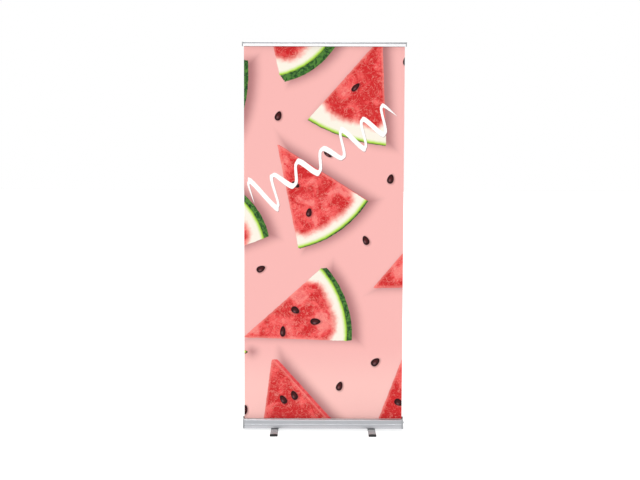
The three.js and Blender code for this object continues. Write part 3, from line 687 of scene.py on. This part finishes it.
def sink_panel(mesh, facing, rim, depth):
    """Sinks the outermost flat side that faces one way, and leaves a raised rim round it."""
    facing = Vector(facing)
    flat = [f for f in mesh.faces if f.normal.dot(facing) > 0.999]
    furthest = max(f.calc_center_median().dot(facing) for f in flat)
    panel = [f for f in flat if f.calc_center_median().dot(facing) > furthest - 0.05 * MM]
    bmesh.ops.inset_region(
        mesh, faces=panel, thickness=rim, depth=-depth, use_boundary=True, use_even_offset=True
    )


def is_folded(mesh):
    """Whether a face would lie over itself once it is filled with triangles."""
    filled = {}
    for loops in mesh.calc_loop_triangles():
        a, b, c = (loop.vert.co for loop in loops)
        face = loops[0].face
        filled[face] = filled.get(face, 0.0) + (b - a).cross(c - a).length / 2
    return any(area > face.calc_area() * 1.01 + 1e-9 for face, area in filled.items())


# Each try at a part's finer shape: the share of the width rounded, and whether panels are sunk.
TRIES = ((1.0, True), (0.6, True), (1.0, False), (0.6, False), (0.3, False))


def refined(node, material, width=0.3 * MM, segments=2, panels=()):
    """A CAD node with rounded edges and sunk panels: the way each faces, its rim and its depth."""
    for share, sunk in TRIES:
        mesh = clean_copy(node)
        for facing, rim, depth in panels if sunk else ():
            sink_panel(mesh, facing, rim * share, depth * share)
        soften(mesh, width * share, segments)
        if not is_folded(mesh):
            break
        mesh.free()
    else:
        mesh = clean_copy(node)
    return finish(node + "_detailed", mesh, body_of(node), material, [node])


def turned(node, profile, centre, material, axis="Z", steps=72, width=0.2 * MM):
    """A lathed part from points (radius, place along the axis), a loop or ending on the axis."""
    mesh = bmesh.new()
    along = Vector([letter == axis for letter in "XYZ"])
    out = Vector((0, 1, 0)) if axis == "X" else Vector((1, 0, 0))
    points = [mesh.verts.new(out * radius + along * place) for radius, place in profile]
    edges = [mesh.edges.new(pair) for pair in zip(points, points[1:])]
    if profile[0][0] > 0:
        edges.append(mesh.edges.new((points[-1], points[0])))
    bmesh.ops.spin(
        mesh,
        geom=points + edges,
        cent=(0, 0, 0),
        axis=along,
        angle=2 * math.pi,
        steps=steps,
        use_merge=True,
    )
    bmesh.ops.remove_doubles(mesh, verts=mesh.verts, dist=1e-6)
    bmesh.ops.recalc_face_normals(mesh, faces=mesh.faces)
    soften(mesh, width)
    bmesh.ops.translate(mesh, verts=mesh.verts, vec=centre)
    return finish(node + "_turned", mesh, body_of(node), material, [node])


def draw_on(mesh, edges, steps):
    """Draws a loop of edges on through rings, each given as its scale and its drop."""
    for scale, drop in steps:
        drawn = bmesh.ops.extrude_edge_only(mesh, edges=edges)["geom"]
        edges = [e for e in drawn if isinstance(e, bmesh.types.BMEdge)]
        ring = [v for v in drawn if isinstance(v, bmesh.types.BMVert)]
        bmesh.ops.scale(mesh, verts=ring, vec=(scale, scale, 1))
        bmesh.ops.translate(mesh, verts=ring, vec=(0, 0, -drop))
    return edges


def cross_screw(node, head, tip, head_radius, head_height, shank_radius):
    """A screw with a cross recess in its domed head. Head and tip are the ends of its axis."""
    mesh = bmesh.new()
    bmesh.ops.create_grid(mesh, x_segments=3, y_segments=3, size=head_radius * 0.48)
    middle = head_radius * 0.2
    corners = [
        f
        for f in mesh.faces
        if min(abs(f.calc_center_median().x), abs(f.calc_center_median().y)) > middle
    ]
    bmesh.ops.delete(mesh, geom=corners, context="FACES")
    cross = mesh.faces[:]
    inside = [e for e in mesh.edges if e.is_boundary]
    ring = bmesh.ops.create_circle(mesh, segments=24, radius=head_radius * 0.72)["verts"]
    outside = [e for e in mesh.edges if e.verts[0] in ring and e.verts[1] in ring]
    bmesh.ops.bridge_loops(mesh, edges=inside + outside)
    bmesh.ops.inset_region(
        mesh, faces=cross, thickness=head_radius * 0.03, depth=-head_height * 0.7, use_boundary=True
    )
    shank = shank_radius / head_radius
    length = (Vector(tip) - Vector(head)).length
    under = draw_on(
        mesh,
        outside,
        [(1.25, head_height * 0.14), (1.11, head_height * 0.36), (1.0, head_height * 0.5)],
    )
    end = draw_on(mesh, under, [(shank, 0.0), (1.0, length - head_height - shank_radius)])
    end = draw_on(mesh, end, [(0.6, shank_radius)])
    bmesh.ops.contextual_create(mesh, geom=end)
    bmesh.ops.recalc_face_normals(mesh, faces=mesh.faces)
    turn = (Vector(head) - Vector(tip)).to_track_quat("Z", "Y").to_matrix()
    bmesh.ops.rotate(mesh, verts=mesh.verts, matrix=turn)
    bmesh.ops.translate(mesh, verts=mesh.verts, vec=head)
    return finish(node + "_screw", mesh, body_of(node), STEEL, [node], smooth=40)


EDGE_CURL = 1.2 * MM
RIPPLE = 0.25 * MM
RIPPLE_ACROSS, RIPPLE_UP = 19.0, 1.7
PLY_GAP = 0.02 * MM


def film_sheet(name, front, back, material):
    """One side of the film, from the roller to the clamp, with its edges a little curled."""
    mesh = bmesh.new()
    bmesh.ops.create_grid(mesh, x_segments=44, y_segments=110, size=0.5)
    size = FILM_HIGH - FILM_LOW
    bmesh.ops.scale(mesh, verts=mesh.verts, vec=(size.x, size.z, 1))
    bmesh.ops.rotate(mesh, verts=mesh.verts, matrix=Matrix.Rotation(math.radians(90), 3, "X"))
    bmesh.ops.translate(mesh, verts=mesh.verts, vec=(0, front, FILM_MIDDLE.z))
    drawn = bmesh.ops.extrude_face_region(mesh, geom=mesh.faces[:])
    far = [v for v in drawn["geom"] if isinstance(v, bmesh.types.BMVert)]
    bmesh.ops.translate(mesh, verts=far, vec=(0, back - front, 0))
    bmesh.ops.recalc_face_normals(mesh, faces=mesh.faces)
    place = mesh.loops.layers.uv.new("print")
    for face in mesh.faces:
        for loop in face.loops:
            loop[place].uv = (loop.vert.co.x, loop.vert.co.z)
    for vert in mesh.verts:
        free = (vert.co.z - SLOT_TOP) / (RAIL_BOTTOM - SLOT_TOP)
        free = math.sin(math.pi * min(max(free, 0.0), 1.0))
        edge = abs(vert.co.x / FILM_HIGH.x) ** 8
        ripple = math.sin(vert.co.x * RIPPLE_ACROSS + vert.co.z * RIPPLE_UP)
        vert.co.y -= free * (EDGE_CURL * edge + RIPPLE * ripple)
    return finish(name, mesh, "cassette", material, smooth=60)


def make_film():
    """The film's printed side and its grey back."""
    half = (FILM_HIGH.y - FILM_LOW.y) / 2
    print_side = film_sheet("film_print", FILM_MIDDLE.y - half, FILM_MIDDLE.y - PLY_GAP, PRINT)
    back_side = film_sheet("film_back", FILM_MIDDLE.y + PLY_GAP, FILM_MIDDLE.y + half, FILM_BACK)
    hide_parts("banner")
    for side in (print_side, back_side):
        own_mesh(side)


# ---------------------------------------------------------------- pieces


WALL = 1.2 * MM
MOULDED_EDGE = 0.25 * MM
DOME_FLATNESS = 0.6
SIDES = (("left", -1), ("right", 1))


def middle_of(node):
    """The middle of a CAD node's box."""
    low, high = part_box(node)
    return (low + high) / 2


def make_pole():
    """Three tubes, the two ferrules they slide on, the plug at the foot and the domed top cap."""
    for section in ("lower", "middle", "upper"):
        node = "pole_tube_" + section
        low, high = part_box(node)
        radius, top = (high.x - low.x) / 2, (high.z - low.z) / 2
        profile = [(radius, -top), (radius, top), (radius - WALL, top), (radius - WALL, -top)]
        turned(node, profile, middle_of(node), POLE_ALUMINIUM, steps=96)
    for section in ("lower", "middle"):
        node = "pole_ferrule_" + section
        low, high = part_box(node)
        radius, top = (high.x - low.x) / 2, (high.z - low.z) / 2
        bore = 7 * MM
        rolled = [(bore, -top), (radius, -top), (radius, -1 * MM), (radius - 0.3 * MM, -0.6 * MM)]
        rolled += [(radius - 0.3 * MM, 0.6 * MM), (radius, 1 * MM), (radius, top), (bore, top)]
        turned(node, rolled, middle_of(node), STEEL, width=0.3 * MM)
    make_pole_ends()


def make_pole_ends():
    """The domed cap in the top of the upper tube, and the plug in the bottom of the lower one."""
    tube_low, tube_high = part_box("pole_tube_upper")
    radius = (tube_high.x - tube_low.x) / 2
    bore = radius - WALL - 0.15 * MM
    low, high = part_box("pole_top_cap")
    dome = high.z - tube_high.z
    cap = [(0, low.z - high.z), (bore, low.z - high.z), (bore, -dome + 0.2 * MM)]
    cap.append((radius, -dome + 0.2 * MM))
    for degrees in range(10, 90, 10):
        turn = math.radians(degrees)
        cap.append((radius * math.cos(turn) ** DOME_FLATNESS, dome * (math.sin(turn) - 1)))
    cap.append((0, 0))
    middle = middle_of("pole_top_cap")
    turned("pole_top_cap", cap, (middle.x, middle.y, high.z), BLACK_PLASTIC)
    low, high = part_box("pole_foot_plug")
    edge = 1.2 * MM
    plug = [(0, 0), (radius - edge, 0), (radius, edge), (radius, 3 * MM), (bore, 3 * MM)]
    plug += [(bore, high.z - low.z - edge), (bore - edge, high.z - low.z), (0, high.z - low.z)]
    turned("pole_foot_plug", plug, (middle.x, middle.y, low.z), BLACK_PLASTIC)


def make_pole_socket():
    """A cup under a flange, with a rounded bead round its mouth."""
    low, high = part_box("pole_socket")
    middle = middle_of("pole_socket")
    height, flange = high.z - low.z, (high.x - low.x) / 2
    bore, body, floor = 10.25 * MM, 13 * MM, 3 * MM
    step = height - 1.8 * MM
    cup = [(0, 0), (body, 0), (body, step), (flange, step), (flange, height - 0.7 * MM)]
    cup += [(flange - 0.9 * MM, height - 0.3 * MM), (bore + 2.6 * MM, height - 0.4 * MM)]
    cup += [(bore + 1.8 * MM, height), (bore + 0.6 * MM, height), (bore, height - 0.8 * MM)]
    cup += [(bore, floor), (0, floor)]
    turned("pole_socket", cup, (middle.x, middle.y, low.z), BLACK_PLASTIC)


def make_pole_clip():
    """The fork at the back of the rail that the pole's top goes into."""
    panels = [((0, 0, 1), 1.5 * MM, 0.6 * MM), ((0, 0, -1), 1.5 * MM, 0.6 * MM)]
    refined("pole_clip", BLACK_PLASTIC, MOULDED_EDGE, panels=panels)


def make_cassette_ends():
    """The end caps with their sunk faces, and three cross-head screws in each."""
    for name, side in SIDES:
        panels = [((side, 0, 0), 1.1 * MM, 0.5 * MM)]
        refined("end_cap_" + name, GREY_PLASTIC, MOULDED_EDGE, panels=panels)
        for number in (1, 2, 3):
            node = f"end_cap_screw_{name}_{number}"
            low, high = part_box(node)
            middle = middle_of(node)
            ends = [Vector((x, middle.y, middle.z)) for x in (low.x, high.x)]
            tip, head = ends if side > 0 else reversed(ends)
            cross_screw(node, head, tip, 2.8 * MM, 2 * MM, 1.5 * MM)


def make_rail():
    """The clamp rail: its body, its hinged jaw with the grip strip, and its end caps."""
    # The body's darker aluminium is painted shade.
    refined("rail_body", RAIL_PAINTED_SHADE_ALUMINIUM)
    # The jaw's near-white aluminium is a painted highlight.
    refined("rail_jaw", JAW_PAINTED_HIGHLIGHT_ALUMINIUM)
    refined("jaw_grip_strip", RUBBER, 0.15 * MM)
    for name, side in SIDES:
        panels = [((side, 0, 0), 1.4 * MM, 0.5 * MM)]
        refined("rail_end_cap_" + name, GREY_PLASTIC, MOULDED_EDGE, panels=panels)
    make_jaw_shade_bead()


def make_jaw_shade_bead():
    """A dark bead along the jaw's lower lip: painted shade standing for the shadow line under the
    jaw.
    """
    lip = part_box("rail_jaw")[0].z - 0.1 * MM
    radius = 1.1 * MM
    mesh = bmesh.new()
    bmesh.ops.create_circle(mesh, cap_ends=True, segments=16, radius=radius)
    bmesh.ops.rotate(mesh, verts=mesh.verts, matrix=Matrix.Rotation(math.radians(90), 3, "Y"))
    length = GRIP_HIGH.x - GRIP_LOW.x
    bmesh.ops.translate(mesh, verts=mesh.verts, vec=(-length / 2, 0, 0))
    drawn = bmesh.ops.extrude_face_region(mesh, geom=mesh.faces[:])["geom"]
    far = [v for v in drawn if isinstance(v, bmesh.types.BMVert)]
    bmesh.ops.translate(mesh, verts=far, vec=(length, 0, 0))
    bmesh.ops.recalc_face_normals(mesh, faces=mesh.faces)
    seat = FILM_MIDDLE.y - 2.6 * MM
    bmesh.ops.translate(mesh, verts=mesh.verts, vec=(0, seat, lip))
    finish("jaw_painted_shade_bead", mesh, "rail_jaw", RUBBER)


def make_foot(side):
    """One swivel foot: an arched bar, two moulded caps, and its pivot through the cassette."""
    refined("foot_bar_" + side, FOOT_ALUMINIUM, 0.4 * MM, 3)
    for end, way in (("front", -1), ("rear", 1)):
        panels = [((0, way, 0), 1.4 * MM, 0.5 * MM)]
        refined(f"foot_cap_{side}_{end}", RUBBER, 0.6 * MM, panels=panels)
    node = "pivot_screw_" + side
    low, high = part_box(node)
    middle = middle_of(node)
    head, tip = Vector((middle.x, middle.y, low.z)), Vector((middle.x, middle.y, high.z))
    cross_screw(node, head, tip, 6 * MM, 2.2 * MM, 2.5 * MM)
    node = "pivot_washer_" + side
    low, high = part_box(node)
    top, bore = (high.z - low.z) / 2, 2.58 * MM
    washer = [(bore, -top), ((high.x - low.x) / 2, -top), ((high.x - low.x) / 2, top), (bore, top)]
    turned(node, washer, middle_of(node), WHITE_PLASTIC)
    refined("pivot_plate_" + side, STEEL)
    refined("pivot_nut_" + side, STEEL)


def make_cassette():
    """The cassette's extrusion, the trims along its slot and the stops at the slot's ends."""
    refined("cassette_housing", ALUMINIUM)
    for name in ("front", "rear"):
        refined("slot_trim_" + name, WHITE_PLASTIC, 0.2 * MM)
    for name in ("left", "right"):
        refined("rail_stop_" + name, RUBBER, 0.5 * MM, 3)


def make_roller():
    """The roller, the clear leader wound on it and what carries and springs it."""
    for node, wall, material, slot in (
        ("roller_tube", WALL, ALUMINIUM, "anodised_aluminium"),
        ("leader_wrap", 0.55 * MM, LEADER, "leader_film"),
    ):
        low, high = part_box(node)
        end, radius = (high.x - low.x) / 2, (high.z - low.z) / 2
        tube = [(radius, -end), (radius, end), (radius - wall, end), (radius - wall, -end)]
        turned(node, tube, middle_of(node), material, "X", width=0.1 * MM)
    for node in ("roller_plug_left", "spring_anchor_plug", "roller_plug_right"):
        refined(node, BLACK_PLASTIC)
    for node in ("roller_axle_pin", "spring_arbor"):
        low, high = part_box(node)
        end, radius, edge = (high.x - low.x) / 2, (high.z - low.z) / 2, 0.6 * MM
        rod = [(0, -end), (radius - edge, -end), (radius, edge - end)]
        rod += [(radius, end - edge), (radius - edge, end), (0, end)]
        turned(node, rod, middle_of(node), STEEL, "X", steps=48)
    make_spring()


def make_spring():
    """The wound spring: a ring of wire drawn round the axle along a helix."""
    low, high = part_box("torsion_spring")
    wire, turns, steps = 1 * MM, 16, 24
    coil = (high.z - low.z) / 2 - wire
    mesh = bmesh.new()
    ring = bmesh.ops.create_circle(mesh, segments=10, radius=wire)["verts"]
    turn = Matrix.Rotation(math.radians(180), 3, Vector((1, 1, 0)))
    bmesh.ops.rotate(mesh, verts=ring, matrix=turn)
    middle = middle_of("torsion_spring")
    start = Vector((low.x + wire, middle.y, middle.z))
    bmesh.ops.translate(mesh, verts=ring, vec=start + Vector((0, coil, 0)))
    length = high.x - low.x - 2 * wire
    bmesh.ops.spin(
        mesh,
        geom=ring + mesh.edges[:],
        cent=start,
        axis=(1, 0, 0),
        dvec=(length / (turns * steps), 0, 0),
        angle=turns * 2 * math.pi,
        steps=turns * steps,
    )
    bmesh.ops.holes_fill(mesh, edges=mesh.edges, sides=10)
    bmesh.ops.recalc_face_normals(mesh, faces=mesh.faces)
    finish("torsion_spring_wound", mesh, "cassette", STEEL, ["torsion_spring"], smooth=60)


def make_cords():
    """The elastic cord through the pole, in its two lengths."""
    for node in ("elastic_cord_lower", "elastic_cord_upper"):
        low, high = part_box(node)
        top, radius = (high.z - low.z) / 2, (high.x - low.x) / 2
        rod = [(0, -top), (radius, -top), (radius, top), (0, top)]
        turned(node, rod, middle_of(node), RUBBER, steps=24, width=0.4 * MM)


make_film()
make_cassette()
make_cassette_ends()
make_roller()
make_rail()
make_pole()
make_pole_socket()
make_pole_clip()
make_cords()
make_foot("left")
make_foot("right")


# ---------------------------------------------------------------- setting


SURROUND_LIGHT = 0.56
MIRRORED_LIGHT = 0.88
OVERHEAD_LIGHT = 2.6
FLOOR_HALF_SIZE = 120
FLOOR_DROP = 0.4 * MM
FLOOR_GLOW = 0.72
CAMERA_PLACE = (-0.0197, -5.006, 1.34)
CAMERA_PITCH, CAMERA_ROLL = math.radians(90 - 3.58), math.radians(0.2)
CAMERA_LENS, CAMERA_SENSOR = 52.7, 36


def make_floor():
    """A plain pale floor, just under the feet."""
    mesh = bmesh.new()
    bmesh.ops.create_grid(mesh, x_segments=1, y_segments=1, size=FLOOR_HALF_SIZE)
    bmesh.ops.translate(mesh, verts=mesh.verts, vec=(0, 0, -FLOOR_DROP))
    data = bpy.data.meshes.new("floor")
    mesh.to_mesh(data)
    mesh.free()
    material, n, shader = new_material("floor")
    looks = {
        "Base Color": (0.5, 0.5, 0.5, 1),
        "Emission Color": (1, 1, 1, 1),
        "Emission Strength": FLOOR_GLOW,
        "Roughness": 0.8,
        "Specular IOR Level": 0.1,
    }
    for name, value in looks.items():
        n.feed(shader.inputs[name], value)
    data.materials.append(material)
    floor = bpy.data.objects.new("floor", data)
    bpy.context.scene.collection.objects.link(floor)


def make_light():
    """Even studio light with one broad lamp overhead, and a white surround."""
    world = bpy.data.worlds.new("studio")
    bpy.context.scene.world = world
    world.use_nodes = True
    n = Nodes(world.node_tree)
    surround = world.node_tree.nodes["Background"]
    surround.inputs["Color"].default_value = (*[SURROUND_LIGHT] * 3, 1)
    backdrop = n.put("Background", {"Color": (1, 1, 1, 1), "Strength": 1.0}).outputs[0]
    mirrored = n.put("Background", {"Color": (*[MIRRORED_LIGHT] * 3, 1)}).outputs[0]
    path = n.put("LightPath").outputs
    plain = surround.outputs[0]
    lit = n.put("MixShader", {0: path["Is Glossy Ray"], 1: plain, 2: mirrored}).outputs[0]
    mixed = n.put("MixShader", {0: path["Is Camera Ray"], 1: lit, 2: backdrop}).outputs[0]
    n.feed(world.node_tree.nodes["World Output"].inputs["Surface"], mixed)
    overhead = bpy.data.lights.new("overhead", "SUN")
    overhead.energy = OVERHEAD_LIGHT
    overhead.angle = math.radians(50)
    lamp = bpy.data.objects.new("overhead", overhead)
    towards = Vector((-0.15, -0.10, 1.0))
    lamp.rotation_euler = towards.to_track_quat("Z", "Y").to_euler()
    bpy.context.scene.collection.objects.link(lamp)


def make_camera():
    """A camera in front of the print, a little above its middle and tilted down."""
    camera = bpy.data.cameras.new("camera")
    camera.sensor_width = CAMERA_SENSOR
    camera.lens = CAMERA_LENS
    camera.clip_end = 200
    viewer = bpy.data.objects.new("camera", camera)
    turn = Matrix.Rotation(CAMERA_PITCH, 4, "X") @ Matrix.Rotation(CAMERA_ROLL, 4, "Z")
    viewer.matrix_world = Matrix.Translation(CAMERA_PLACE) @ turn
    bpy.context.scene.collection.objects.link(viewer)
    bpy.context.scene.camera = viewer


make_floor()
make_light()
make_camera()
bpy.context.scene.view_settings.view_transform = "Standard"
